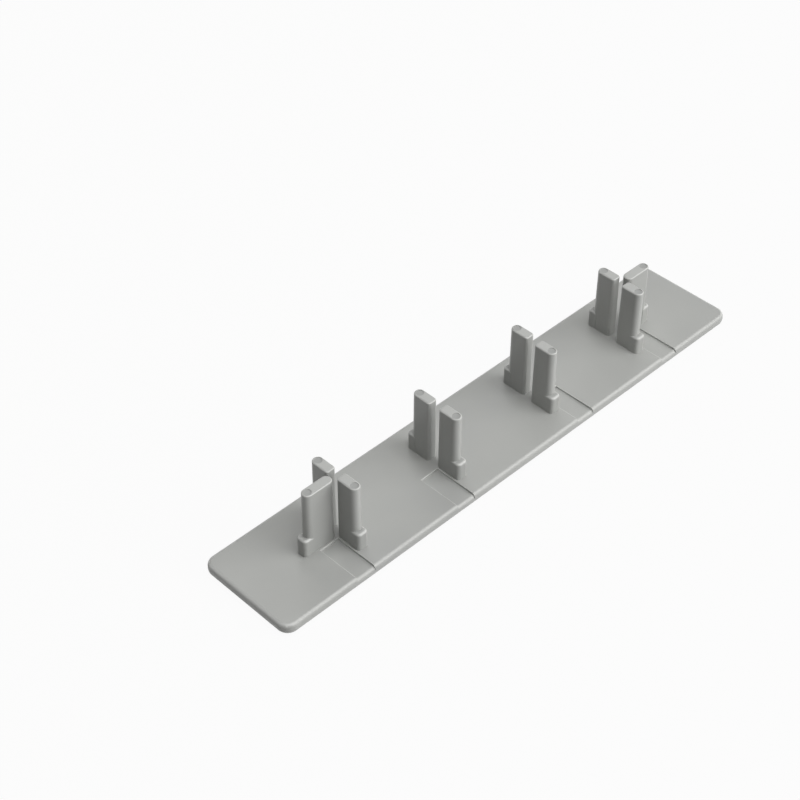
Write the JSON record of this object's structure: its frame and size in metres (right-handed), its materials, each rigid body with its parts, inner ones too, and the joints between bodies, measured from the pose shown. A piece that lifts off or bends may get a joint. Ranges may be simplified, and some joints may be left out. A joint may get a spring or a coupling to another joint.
{
  "type": "plastic end cap",
  "caption": "Push-in plastic end cap for a wide, flat hollow extrusion: a thin rounded plate with drafted prongs and wedging boots on its inner face.",
  "frame": {"origin": "centre of the flat show face, which lies on Z = 0", "axes": "+X along the cap's length, +Y across it away from the recessed edge, +Z out of the inner face, the way the cap pushes into the extrusion"},
  "size_m": [0.1596, 0.0296, 0.0223],
  "materials": {
    "cap_plastic": "satin"
  },
  "bodies": {
    "root": {"end_cap": "cap_plastic"}
  },
  "joints": []
}
